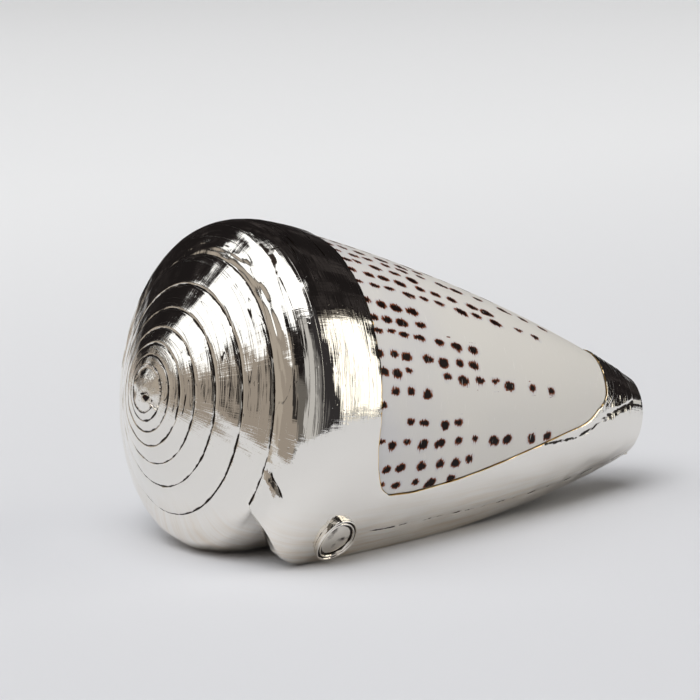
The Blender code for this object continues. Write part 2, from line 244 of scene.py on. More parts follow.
def windowStart(phi):
    early = np.clip(phi - window["startCurveFrom"], 0.0, window["startCurveReach"])
    return mix(bendEnd, 1.0, window["start"] + window["startCurve"] * early ** 2)


def windowEnd(phi):
    end = window["end"] + window["endSlope"] * (-1.0 - phi)
    return mix(bendEnd, 1.0, np.clip(end, window["end"], window["endLimit"]))


# Above this row the grid's columns are still coming round from even spacing to the window's.
shoulderRow = 0.38
# A corner's rounding fades out over this share of its size, and is worked out up to cornerReach.
cornerFade, cornerReach = 1.5, 3


def cornerMove(u, v):
    # turns a square corner of the grid into a quarter ellipse; u and v are 1 at its ends
    def along(d):
        d = np.clip(d, 0, 1)
        angle = math.radians(45) * (1 - d)
        return 1 - np.sin(angle) - d, 1 - np.cos(angle)

    weight = u * u / np.maximum(u * u + v * v, 1e-9)
    gu, hu = along(u)
    gv, hv = along(v)
    fade = 1 - smoothStep(np.minimum(abs(u), abs(v)) / cornerFade)
    fade = fade * (1 - smoothStep(-u / cornerFade)) * (1 - smoothStep(-v / cornerFade))
    moveU = (weight * gu + (1 - weight) * hv) * fade
    moveV = (weight * hu + (1 - weight) * gv) * fade
    return moveU, moveV


def roundWindowCorners(phi, row):
    radius = bodyProfile(phi, np.minimum(row, 1.0))[0]
    rowLength = (1 - bendEnd) ** -1 * window["cornerRows"]  # metres
    movedPhi, movedRow = phi.copy(), row.copy()
    for edge, side in (("front", -1), ("rear", 1)):
        for end, way in (("shoulder", 1), ("tip", -1)):
            sizeX, sizeY = window[end + "Corner"]
            edgePhi = window[edge] + side * windowDraw(row)
            edgeRow = windowStart(phi) if way > 0 else windowEnd(phi)
            u = side * (phi - edgePhi) * radius / sizeX
            v = way * (row - edgeRow) * rowLength / sizeY
            near = (abs(u) < cornerReach) & (abs(v) < cornerReach) & (row > shoulderRow)
            moveU, moveV = cornerMove(u, v)
            movedPhi = movedPhi + np.where(near, side * moveU * sizeX / radius, 0)
            movedRow = movedRow + np.where(near, way * moveV * sizeY / rowLength, 0)
    return movedPhi, movedRow


# How finely each stretch of the surface is divided, as (stretch, places along it).
grid = {
    "edgeShare": 0.3,
    "rear": 92,
    "window": 168,
    "lip": 30,
    "ramp": (0, .015, .045, .08, .115, .145, .17, .195, .21, .225, .24, .255, .27, .285, .30,
             .315, .33, .345, .36, .375, .39),
    "rampFixed": 0.3,
    "rampStretch": 0.105,
    "edgeGap": 0.0020,
    "side": 84,
    "front": 40,
    "round": 7,
    "spireRows": (0, .03, .08, .16, .26, .38, .5, .62, .74, .84, .92, .97, 1),
    "rim": 8,
    "hollow": 22,
    "hollowSpread": 1.35,
    "cap": 6,
}
rearStretch, windowStretch, lipStretch = 0, 1, 2
rampRows, sideRows, frontRows, roundRows = 0, 1, 2, 3
middlePhi = -1.5


def placesAlong(name, kind, edgeFirst=False, edgeLast=False):
    # even steps, with a narrow one beside an edge of the window
    count = grid[name]
    narrow = grid["edgeShare"] / count
    steps = [i / count for i in range(count)]
    if edgeFirst:
        steps.insert(1, narrow)
    if edgeLast:
        steps.append(1 - narrow)
    return [(kind, step) for step in steps]


columnPlaces = np.array(placesAlong("rear", rearStretch, edgeLast=True)
                        + placesAlong("window", windowStretch, True, True)
                        + placesAlong("lip", lipStretch, edgeFirst=True) + [(lipStretch, 1.0)])
# -1 stands for the row just above the window's edge
rowPlaces = np.array([(rampRows, place) for place in (*grid["ramp"], -1)]
                     + placesAlong("side", sideRows, True, True)
                     + placesAlong("front", frontRows, edgeFirst=True)
                     + placesAlong("round", roundRows) + [(roundRows, 1.0)])
around = len(columnPlaces) - 1
down = len(rowPlaces) - 1


def rowAt(index, phi):
    # index is an array of row numbers; the window's short edges follow phi
    kind, share = rowPlaces[index].T
    start, end = windowStart(phi), windowEnd(phi)
    fixed = grid["rampFixed"]
    stretched = fixed + (share - fixed) * (start - fixed) / grid["rampStretch"]
    row = np.where(share < 0, start - grid["edgeGap"], np.where(share > fixed, stretched, share))
    row = np.where(kind == sideRows, mix(start, end, share), row)
    row = np.where(kind == frontRows, mix(end, tipStart, share), row)
    return np.where(kind == roundRows, 1 + share, row)


def nominalRow(index):
    return np.minimum(rowAt(index, np.full(index.shape, middlePhi)), 1.0)


def columnAt(index, row):
    stretch = columnPlaces[index, 0]
    place = columnPlaces[index, 1]
    underLip = -turn - coil["lipSetback"]
    rear = window["rear"] + windowDraw(row)
    front = window["front"] - windowDraw(row)
    fitted = np.where(stretch == rearStretch, mix(underLip, rear, place), 0)
    fitted = np.where(stretch == windowStretch, mix(rear, front, place), fitted)
    fitted = np.where(stretch == lipStretch, mix(front, lipPhi(row), place), fitted)
    even = underLip + turn * index / around
    return mix(even, fitted, smoothStep(row / shoulderRow))


def bodyPlace(column, rowIndex):
    phi = columnAt(column, nominalRow(rowIndex))
    row = rowAt(rowIndex, phi)
    return roundWindowCorners(phi, row)


# Hand-made unevenness: a few waves in every direction, always the same ones for one seed.
unevenness = {"waves": 14, "sizes": (0.6, 1.7), "height": 3.0}


def softNoise(x, y, size, seed):
    dice = np.random.default_rng(seed)
    total = 0
    for _ in range(unevenness["waves"]):
        angle = dice.uniform(0, turn)
        pitch = turn / (size * dice.uniform(*unevenness["sizes"]))
        phase = dice.uniform(0, turn)
        total = total + np.sin((x * math.cos(angle) + y * math.sin(angle)) * pitch + phase)
    return total / unevenness["height"]


def nearLine(phi, row, name):
    # 1 on one of the relief's lines of (phi, row) places, fading over its width
    line, width = relief[name], relief[name + "Width"]
    nearest = np.full(phi.shape, 1.0)
    radius = bodyProfile(phi, np.minimum(row, 1.0))[0]
    for (phiA, rowA), (phiB, rowB) in zip(line, line[1:]):
        ax, ay = (phi - phiA) * radius, (row - rowA) * relief["rowLength"]
        bx, by = (phiB - phiA) * radius, (rowB - rowA) * relief["rowLength"]
        t = np.clip((ax * bx + ay * by) / (bx * bx + by * by), 0, 1)
        nearest = np.minimum(nearest, np.hypot(ax - t * bx, ay - t * by))
    return np.exp(-((nearest / width) ** 2))


# Relief in the silver, metres out of its skin; a row is about rowLength long.
relief = {
    "rowLength": 0.16,
    "ridges": 6,
    "ridgeHeight": 0.00008,
    "ridgeFade": (-1.25, 0.5),
    "fold": ((-.56, .04), (-.557, .10), (-.548, .18), (-.515, .22), (-.475, .243)),
    "foldDepth": 0.0004,
    "foldWidth": 0.0005,
    "foldRidge": ((-.50, .06), (-.495, .13), (-.475, .19), (-.43, .225), (-.41, .245)),
    "foldRidgeDepth": -0.00024,
    "foldRidgeWidth": 0.0010,
    "crease": ((-.29, .37), (-.257, .395), (-.244, .618), (-.196, .787), (-.165, .90),
               (-.15, .975)),
    "creaseDepth": 0.00014,
    "creaseWidth": 0.00030,
    "creaseTarnish": 0.8,
    "tipStep": ((-.735, .755), (-.745, .80), (-.765, .83), (-.85, .865), (-.945, .885),
                (-1.15, .945), (-1.40, .995)),
    "tipStepDepth": 0.00030,
    "tipStepWidth": 0.00045,
    "unevenness": 0.00005,
    "spireWaves": 0.00004,
    "nucleusLumps": 0.00011,
    "lumpsFade": (0.002, 0.006),
    "tarnishReach": 0.55,  # mm from a seam
    "sutureRow": 45,  # mm that a row is long beside the suture
}


def bodyRelief(phi, row, rowIndex):
    lift = relief["unevenness"] * softNoise(phi * 30, row * 160, 9.0, 3)
    kind, share = rowPlaces[rowIndex].T
    cords = 0.5 - 0.5 * np.cos(turn * relief["ridges"] * share)
    fadeFrom, fadeReach = relief["ridgeFade"]
    aboveLip = 1 - smoothStep((phi - fadeFrom) / fadeReach)
    ridges = relief["ridgeHeight"] * cords ** 1.5 * aboveLip
    lift = lift + np.where(kind == frontRows, ridges, 0)
    for line in ("fold", "foldRidge", "crease", "tipStep"):
        lift = lift - relief[line + "Depth"] * nearLine(phi, row, line)
    return np.where(row < 0.01, 0, lift)


def deselectAll():
    if bpy.context.object and bpy.context.object.mode != "OBJECT":
        setMode("OBJECT")
    bpy.ops.object.select_all(action="DESELECT")


def selectOnly(piece):
    deselectAll()
    piece.select_set(True)
    bpy.context.view_layer.objects.active = piece


def setMode(mode):
    bpy.ops.object.mode_set(mode=mode)


def faceOutward():
    setMode("EDIT")
    bpy.ops.mesh.select_all(action="SELECT")
    bpy.ops.mesh.normals_make_consistent(inside=False)
    setMode("OBJECT")


def vectors(mesh, field):
    values = np.empty(len(mesh.vertices) * 3)
    mesh.vertices.foreach_get(field, values)
    return values.reshape(-1, 3)


def giveAttribute(mesh, name, values, kind="FLOAT", domain="POINT"):
    field = "vector" if kind == "FLOAT_VECTOR" else "value"
    number = np.int32 if kind == "INT" else np.float32
    values = values.ravel().astype(number)
    mesh.attributes.new(name, kind, domain).data.foreach_set(field, values)


def growPatch(name, columns, rows, placeOf, seamOf=None):
    # a flat grid is added, then every point is moved to its place on the coil
    deselectAll()
    bpy.ops.mesh.primitive_grid_add(x_subdivisions=columns, y_subdivisions=rows, size=1)
    patch = bpy.context.object
    patch.name = name
    mesh = patch.data
    flat = vectors(mesh, "co")
    column = np.rint((flat[:, 0] + 0.5) * columns).astype(int)
    row = np.rint((flat[:, 1] + 0.5) * rows).astype(int)
    points, phi, path, lift, silvered = placeOf(column, row)
    seam = seamOf(column, row) if seamOf else zeros(column)
    mesh.vertices.foreach_set("co", points.ravel())
    corners = np.empty(len(mesh.loops), dtype=int)
    mesh.loops.foreach_get("vertex_index", corners)
    spread = np.stack((phi[corners], path[corners]), axis=-1)
    mesh.uv_layers[0].name = "coil"
    mesh.uv_layers[0].data.foreach_set("uv", spread.ravel().astype(np.float32))
    giveAttribute(mesh, "lift", lift)
    giveAttribute(mesh, "seam", seam)
    middles = (place[corners].reshape(-1, 4).mean(axis=1) for place in (column, row))
    giveAttribute(mesh, "silvered", silvered(*middles), "INT", "FACE")
    mesh.update()
    return patch


firstWindowRow = np.argmax(rowPlaces[:, 0] == sideRows)
lastWindowRow = np.argmax(rowPlaces[:, 0] == frontRows)
firstWindowColumn = np.argmax(columnPlaces[:, 0] == windowStretch)
lastWindowColumn = np.argmax(columnPlaces[:, 0] == lipStretch)
roofIndex = grid["ramp"].index(coil["roofRow"])
spireTurns = coil["innerWhorls"]
spireRows = np.array(grid["spireRows"])
spireCount = len(spireRows) - 1


def spirePlace(phi, across):
    radius = mix(sutureRadius(phi - turn), sutureRadius(phi), across)
    nucleusEnd, fullAfter = coil["firstSuture"]
    wear = smoothStep((radius - nucleusEnd) / fullAfter)
    edge = 1 - np.sin(math.pi * across)
    lift = mix(coil["whorlBulge"], -coil["sutureGroove"], edge ** 8)
    return radius, spireHeight(radius) - lift * wear


def underLipPlace(phi, rowIndex, points):
    # just past the lip the last whorl starts out as the spire's outermost whorl
    share = 1 - smoothStep((phi + turn + coil["lipSetback"]) / coil["underLipReach"])
    onSpire = spireRows[np.minimum(rowIndex, spireCount)]
    wanted = onCoil(phi, *spirePlace(phi, onSpire))
    sutureRow = np.full(phi.shape, grid["ramp"][spireCount])
    atSuture = bodyPoint(phi, np.where(rowIndex > spireCount, sutureRow, 0.1))
    move = np.where((rowIndex > spireCount)[:, None], wanted - atSuture, wanted - points)
    fade = share * np.clip(1 - (rowIndex - spireCount) / (roofIndex - spireCount), 0, 1)
    return points + move * fade[:, None]


def bodyPatch(column, row):
    phi, place = bodyPlace(column, row)
    points = underLipPlace(phi, row, bodyPoint(phi, place))
    lift = bodyRelief(phi, place, row)

    def silvered(c, r):
        inside = (c > firstWindowColumn) & (c < lastWindowColumn)
        return ~(inside & (r > firstWindowRow) & (r < lastWindowRow))

    return points, phi, pathAt(phi, place), lift, silvered


def spireLift(phi, radius):
    # slow waves all over the spire, and lumps on the worn nucleus
    x, y = radius * np.cos(phi) / mm, radius * np.sin(phi) / mm
    fadeFrom, fadeReach = relief["lumpsFade"]
    worn = 1 - smoothStep((radius - fadeFrom) / fadeReach)
    waves = relief["spireWaves"] * softNoise(x, y, 7.0, 5)
    return waves + relief["nucleusLumps"] * worn * softNoise(x, y, 3.4, 8)


def allSilver(column, row):
    return np.ones(len(column), bool)


def spirePhi(column):
    # the apex end starts whole turns behind the lip, so that the columns meet the last whorl's
    return -turn * (spireTurns + 1) - coil["lipSetback"] + turn * column / around


def spireSurface(phi, radius, height):
    return onCoil(phi, radius, height), phi, radius * 1000, spireLift(phi, radius), allSilver


def spirePatch(column, row):
    phi = spirePhi(column)
    across = spireRows[row]
    radius, height = spirePlace(phi, across)
    return spireSurface(phi, radius, height)


def nucleusPatch(column, row):
    onRing = column <= around
    phi = spirePhi(np.where(onRing, column, 0))
    back = np.clip(spireCount - (column - around), 0, spireCount)
    across = np.where(onRing, 0.0, spireRows[back])
    radius, ringHeight = spirePlace(phi, across)
    share = 1 - row / grid["cap"]
    radius = radius * share
    height = mix(spireHeight(radius), ringHeight, share ** 3)
    return spireSurface(phi, radius, height)


def spireSeam(column, row):
    # 1 in the suture, 0 at tarnishReach (mm) from it
    phi = spirePhi(column)
    across = spireRows[row]
    width = (sutureRadius(phi) - sutureRadius(phi - turn)) / mm
    return np.clip(1 - np.minimum(across, 1 - across) * width / relief["tarnishReach"], 0, 1)


def bodySeam(column, row):
    phi, place = bodyPlace(column, row)
    fold, crease, tipStep = (nearLine(phi, place, line) for line in ("fold", "crease", "tipStep"))
    suture = np.clip(1 - place * relief["sutureRow"] / relief["tarnishReach"], 0, 1)
    return np.maximum.reduce((suture, fold, crease * relief["creaseTarnish"], tipStep))


# The silver is a sheet over the shell: how far it stands out and how far the shell is let back
# under it, how the whole is drawn in so that the sheet ends at the part's own outline, its
# thickness, how far it rolls over at the window, uneven in waves of rollWaves (mm), how far it
# turns in behind the lip (radians), and the x beyond which its edge isn't gold.
sheath = {
    "proud": 0.3 * mm,
    "under": 0.75 * mm,
    "trim": -0.15 * mm,
    "thickness": 0.7 * mm,
    "edgeRoll": 0.10 * mm,
    "rollRange": (0.7, 0.5),
    "rollWaves": 2.5,
    "edgeDip": 0.4 * mm,
    "turnedIn": 0.40,
    "goldEnd": 57 * mm,
}

hollowRows = down - roofIndex


def hollowShare(step):
    return (step / grid["hollow"]) ** grid["hollowSpread"]


def hollowPhi(step):
    return mix(coil["lipSetback"], coil["hollowAngle"], hollowShare(step))


def turnedIn(step, row):
    # how far the sheet is turned in behind the lip
    return hollowPhi(step) < sheath["turnedIn"]


def wallPatch(column, row):
    phi = -turn - hollowPhi(column)
    place = rowAt(row + roofIndex, phi)
    return bodyPoint(phi, place), phi, pathAt(phi, place), zeros(phi), turnedIn


def insidePoint(phi, place):
    outer = bodyPoint(phi, place)
    radius = np.hypot(outer[:, 0], outer[:, 1])
    share = 1 - lipThickness(np.minimum(place, 1.0)) / radius
    return outer * np.stack((share, share, np.ones(len(share))), axis=-1)


def insidePatch(column, row):
    index = row + roofIndex
    atLip = lipPhi(nominalRow(index))
    phi = -mix(-atLip, coil["hollowAngle"], hollowShare(column))
    place = rowAt(index, phi)
    return insidePoint(phi, place), phi, pathAt(phi, place), zeros(phi), turnedIn


def rimPatch(column, row):
    index = row + roofIndex
    phi, place = bodyPlace(np.full(row.shape, around), index)
    outside = bodyPoint(phi, place)
    phiIn = lipPhi(nominalRow(index))
    inside = insidePoint(phiIn, rowAt(index, phiIn))
    middle = (outside + inside) / 2
    onward = unit(np.stack((-middle[:, 1], middle[:, 0], zeros(row)), axis=-1))
    thickness = np.linalg.norm(outside - inside, axis=-1, keepdims=True)
    angle = math.pi * (column / grid["rim"])[:, None]
    reach = coil["lipRound"] * thickness / coil["lipThickness"]
    points = middle + (outside - middle) * np.cos(angle) + onward * reach * np.sin(angle)
    return points, phi + column * 0.01, pathAt(phi, place), zeros(phi), allSilver


def bridge(wall, inner, column, silvered):
    share = (column / grid["cap"])[:, None]
    return mix(wall[0], inner[0], share), *wall[1:4], silvered


def closingPatch(column, row):
    # the back of the hollow, joining the wall to the inner face of the last whorl
    steps = np.full(row.shape, grid["hollow"])
    return bridge(wallPatch(steps, row), insidePatch(steps, row), column,
                  lambda c, r: np.zeros(len(c), bool))


def roofPatch(column, row):
    # the top of the hollow, from the wall to the inside of the shoulder
    start = np.zeros(row.shape, dtype=int)
    return bridge(wallPatch(row, start), insidePatch(row, start), column,
                  lambda c, r: turnedIn(r, c))


def joinPatches(patches, name):
    deselectAll()
    for patch in patches:
        patch.select_set(True)
    bpy.context.view_layer.objects.active = patches[0]
    bpy.ops.object.join()
    whole = bpy.context.object
    whole.name = name
    setMode("EDIT")
    bpy.ops.mesh.select_mode(type="VERT")
    bpy.ops.mesh.select_all(action="SELECT")
    bpy.ops.mesh.remove_doubles(threshold=0.008 * mm)
    bpy.ops.mesh.select_all(action="DESELECT")
    bpy.ops.mesh.select_non_manifold(extend=False, use_wire=False, use_multi_face=False,
                                     use_non_contiguous=False, use_verts=False)
    bpy.ops.mesh.edge_face_add()  # the front end and the notch behind the lip
    faceOutward()
    outward = vectors(whole.data, "normal") * vectors(whole.data, "co")
    if outward[:, :2].sum() < 0:  # the deep hollow can turn the recalculation round
        setMode("EDIT")
        bpy.ops.mesh.flip_normals()
        setMode("OBJECT")
    return whole


patches = [
    growPatch("body", around, down, bodyPatch, bodySeam),
    growPatch("spire", around * spireTurns, spireCount, spirePatch, spireSeam),
    growPatch("nucleus", around + spireCount, grid["cap"], nucleusPatch),
    growPatch("wall", grid["hollow"], hollowRows, wallPatch),
    growPatch("inside", grid["hollow"], hollowRows, insidePatch),
    growPatch("rim", grid["rim"], hollowRows, rimPatch),
    growPatch("closing", grid["cap"], hollowRows, closingPatch),
    growPatch("roof", grid["cap"], grid["hollow"], roofPatch),
]
wholeShell = joinPatches(patches, "wholeShell")
print("shell grown:", len(wholeShell.data.polygons), "faces")


def skinFrom(name, offsets, keepFaces, lowest):
    # a copy of the grown shell, moved in or out along its normals and laid on the table
    selectOnly(wholeShell)
    bpy.ops.object.duplicate()
    skin = bpy.context.object
    skin.name = name
    mesh = skin.data
    mesh.name = name
    moved = layDown(vectors(mesh, "co") + vectors(mesh, "normal") * offsets[:, None])
    moved[:, 2] = np.maximum(moved[:, 2], lowest)
    mesh.vertices.foreach_set("co", moved.ravel())
    if keepFaces is not None:
        mesh.polygons.foreach_set("select", ~keepFaces)
        for parts in (mesh.edges, mesh.vertices):
            parts.foreach_set("select", np.zeros(len(parts), bool))
        setMode("EDIT")
        bpy.ops.mesh.select_mode(type="FACE")
        bpy.ops.mesh.delete(type="FACE")
        setMode("OBJECT")
    return skin


def readAttribute(mesh, name, size, kind):
    values = np.empty(size, dtype=kind)
    mesh.attributes[name].data.foreach_get("value", values)
    return values


def touching(mesh, faceFlags):
    # vertices that touch a flagged face
    flags = np.zeros(len(mesh.vertices), bool)
    for face, flagged in zip(mesh.polygons, faceFlags):
        if flagged:
            flags[list(face.vertices)] = True
    return flags


naturalMesh = wholeShell.data
silveredFaces = readAttribute(naturalMesh, "silvered", len(naturalMesh.polygons), np.int32) > 0
# the front end's and the notch's closing faces came without a value, and are silver
for face in naturalMesh.polygons:
    if len(face.vertices) > 4:
        silveredFaces[face.index] = True
lifts = readAttribute(naturalMesh, "lift", len(naturalMesh.vertices), np.float32)
naturalPlaces = vectors(naturalMesh, "co")
bareVertices = touching(naturalMesh, ~silveredFaces)
edgeVertices = bareVertices & touching(naturalMesh, silveredFaces)

leastRoll, addedRoll = sheath["rollRange"]
rollNoise = softNoise(*naturalPlaces[:, :2].T / mm, sheath["rollWaves"], 12)
edgeRoll = sheath["edgeRoll"] * (leastRoll + addedRoll * rollNoise)
silverOffsets = lifts + sheath["proud"] + sheath["trim"] - np.where(edgeVertices, edgeRoll, 0)
shellOffsets = np.where(bareVertices, 0.0, -sheath["under"])
shellOffsets = shellOffsets + np.where(edgeVertices, -sheath["edgeDip"], 0) + sheath["trim"]
silverSheath = skinFrom("silverSheath", silverOffsets, silveredFaces, 0.0)
coneShell = skinFrom("coneShell", shellOffsets, None, sheath["proud"] + sheath["under"])

selectOnly(wholeShell)
bpy.ops.object.delete()


def applyModifier(piece, kind, **settings):
    selectOnly(piece)
    added = piece.modifiers.new(kind.lower(), kind)
    for key, value in settings.items():
        setattr(added, key, value)
    bpy.ops.object.modifier_apply(modifier=added.name)


def shadeSmooth(piece):
    selectOnly(piece)
    bpy.ops.object.shade_smooth_by_angle(angle=math.radians(50))


# the trimmed edge is marked before the sheet is turned in along it
sheet = silverSheath.data
edgeMarks = zeros(sheet.vertices)
uses = np.bincount([loop.edge_index for loop in sheet.loops], minlength=len(sheet.edges))
for edge in sheet.edges:
    if uses[edge.index] == 1:
        edgeMarks[list(edge.vertices)] = 1
edgeMarks[vectors(sheet, "co")[:, 0] > sheath["goldEnd"]] = 0
giveAttribute(sheet, "edge", edgeMarks)
# the rim faces this adds take the second material, the painted shade of the trimmed edge
applyModifier(silverSheath, "SOLIDIFY", thickness=sheath["thickness"], offset=-1,
              use_rim=True, use_rim_only=True, material_offset_rim=1)
shadeSmooth(silverSheath)
shadeSmooth(coneShell)
print("silver sheath:", len(silverSheath.data.polygons), "faces; shell:",
      len(coneShell.data.polygons), "faces")

# The oval plaque soldered to the lip. Its field is left blank.
plaque = {
    "long": 12.6 * mm,
    "short": 10.2 * mm,
    "phi": -0.243,
    "row": 0.3995,
    "turn": math.radians(22),
    "stand": 0.17 * mm,
    "points": 96,
    "fieldTarnish": 0.47,
    # share of the oval, height above the silver (mm)
    "profile": ((1.0, .70), (.99, .95), (.97, 1.10), (.94, 1.12), (.915, .98), (.90, .60),
                (.86, .56), (.845, .78), (.825, .95), (.795, .97), (.775, .85), (.76, .45),
                (.71, .38), (.66, .38), (.5, .40), (.25, .42)),
    "fieldEnd": 0.69,
    "rimStart": 0.95,
    "grooveTop": 0.65 * mm,
}


def bendOntoLip(flat):
    # x and y of the flat plaque run over the lip, z stands out from it
    phi0, row0 = plaque["phi"], plaque["row"]
    radius = bodyProfile(np.array([phi0]), np.array([row0]))[0][0]
    step = 0.01
    ends = bodyPoint(np.array([phi0, phi0]), np.array([row0 - step, row0 + step]))
    rowLength = np.linalg.norm(ends[1] - ends[0]) / (2 * step)
    cos, sin = math.cos(plaque["turn"]), math.sin(plaque["turn"])
    aroundWay = flat[:, 0] * cos - flat[:, 1] * sin
    alongWay = flat[:, 0] * sin + flat[:, 1] * cos
    phi = phi0 + aroundWay / radius
    row = row0 + alongWay / rowLength
    return layDown(bodyPoint(phi, row) + bodyNormal(phi, row) * flat[:, 2:3])


def makePlaque():
    deselectAll()
    bpy.ops.mesh.primitive_circle_add(vertices=plaque["points"], radius=0.5, fill_type="NGON")
    piece = bpy.context.object
    piece.name = "plaqueBlank"
    setMode("EDIT")
    bpy.ops.mesh.select_mode(type="FACE")
    bpy.ops.mesh.select_all(action="SELECT")
    bpy.ops.transform.resize(value=(plaque["long"], plaque["short"], 1))
    bpy.ops.transform.translate(value=(0, 0, plaque["stand"]))
    lastShare, lastHeight = 1.0, 0.0
    for share, height in plaque["profile"]:
        rise = (0, 0, (height - lastHeight) * mm)
        bpy.ops.mesh.extrude_region_move(TRANSFORM_OT_translate={"value": rise})
        factor = share / lastShare
        bpy.ops.transform.resize(value=(factor, factor, 1))
        lastShare, lastHeight = share, height
    bpy.ops.mesh.poke()
    setMode("OBJECT")
    bpy.ops.object.transform_apply(location=True, rotation=True, scale=True)
    mesh = piece.data
    flat = vectors(mesh, "co")
    mesh.vertices.foreach_set("co", bendOntoLip(flat).ravel())
    # tarnish sits in the groove between the rims and, thinner, on the field
    share = np.hypot(flat[:, 0] / plaque["long"], flat[:, 1] / plaque["short"]) * 2
    tarnished = np.where(flat[:, 2] - plaque["stand"] < plaque["grooveTop"], 1.0, 0.0)
    tarnished = np.where(share < plaque["fieldEnd"], plaque["fieldTarnish"], tarnished)
    tarnished = np.where(share > plaque["rimStart"], 0.0, tarnished)
    giveAttribute(mesh, "seam", tarnished)
    mesh.update()
    faceOutward()
    shadeSmooth(piece)
    return piece


plaqueBlank = makePlaque()
print("plaque made:", len(plaqueBlank.data.polygons), "faces")


def colour(hexText):
    # sRGB hex to linear
    parts = [int(hexText[i:i + 2], 16) / 255 for i in (1, 3, 5)]
    linear = [p / 12.92 if p <= 0.04045 else ((p + 0.055) / 1.055) ** 2.4 for p in parts]
    return (*linear, 1.0)


def feed(tree, socket, value):
    # value is a plain value, a hex colour, another node's output, or a node for its first
    # output in use
    if isinstance(value, str):
        value = colour(value)
    if isinstance(value, bpy.types.Node):
        value = next(output for output in value.outputs if output.enabled)
    if isinstance(value, bpy.types.NodeSocket):
        tree.links.new(value, socket)
    elif value is not None:
        socket.default_value = value


def addNode(tree, kind, *values, **settings):
    # values go to the node's inputs in order; settings are its properties, and inputs by name
    node = tree.nodes.new("ShaderNode" + kind)
    for key, value in settings.items():
        if key[0].islower():
            setattr(node, key, value)
    named = {key: value for key, value in settings.items() if key[0].isupper()}
    feedAll(tree, node, {**dict(enumerate(values)), **named})
    return node


def calc(tree, operation, *values):
    return addNode(tree, "Math", *values, operation=operation)


def ramp(tree, *values, **settings):
    return addNode(tree, "MapRange", *values, **settings)


def calcVector(tree, operation, *values):
    return addNode(tree, "VectorMath", *values, operation=operation)


def noise(tree, place, scale, detail, roughness=0.5):
    return addNode(tree, "TexNoise", Vector=place, Scale=scale, Detail=detail, Roughness=roughness)


def lineNoise(tree, skin, counts, detail, roughness=0.5):
    # counts are per radian of turn and per mm along the shell
    place = calcVector(tree, "MULTIPLY", skin, (*counts, 1))
    return noise(tree, place, 1.0, detail, roughness)


def feedAll(tree, node, inputs):
    for key, value in inputs.items():
        feed(tree, node.inputs[key], value)


def blend(tree, share, first, second):
    # a mix of two colours
    node = addNode(tree, "Mix", share, data_type="RGBA")
    feedAll(tree, node, {6: first, 7: second})
    return node


def newMaterial(name):
    material = bpy.data.materials.new(name)
    material.use_nodes = True
    tree = material.node_tree
    return material, tree, tree.nodes["Principled BSDF"]


def putOn(piece, *materials):
    piece.data.materials.clear()
    for material in materials:
        piece.data.materials.append(material)


# Electroformed silver, buffed to a mirror. It keeps the shell's growth lines as a faint relief,
# a few casting pits, dark tarnish in its seams and a warm tint at its trimmed edge.
# Lines are counted per radian of turn and per mm along the shell: 30 a radian is about one a
# mm. Dents, pits and grain are counted per metre: dents are 9 mm across. Real pits are finer
# than a pixel, so they are drawn coarser, about 1 mm. The heights are in metres.
silverLook = {
    "face": "#F1EEE8",
    "tarnish": "#2B2420",
    "edgeGold": "#E3BC6E",
    "warmth": "#E6D9C8",
    "roughness": 0.045,
    "growthLines": (30.0, 0.05),
    "growthDepth": 0.035 * mm,
    "spiralLines": (0.9, 0.9),
    "spiralDepth": 0.09 * mm,
    "dents": 115,
    "dentDepth": 0.24 * mm,
    "scoreLines": (0.5, 0.40),
    "scoreDepth": 0.010 * mm,
    "scoreWidth": 0.011,
    "scoreHeight": (0.024, 0.036),
    "scoreTarnish": 0.72,
    "pits": 900,
    "pitTops": (0.7, 0.78),
    "pitDepth": 0.012 * mm,
    "grain": 420.0,
    "tarnishFrom": (0.26, 0.36),
    "tarnishRoughness": 0.45,
    "goldFrom": (0.1, 0.3),
    "goldShare": 0.95,
    "castHeight": (0.002, 0.014),
    "castLines": (0.42, 0.62),
}


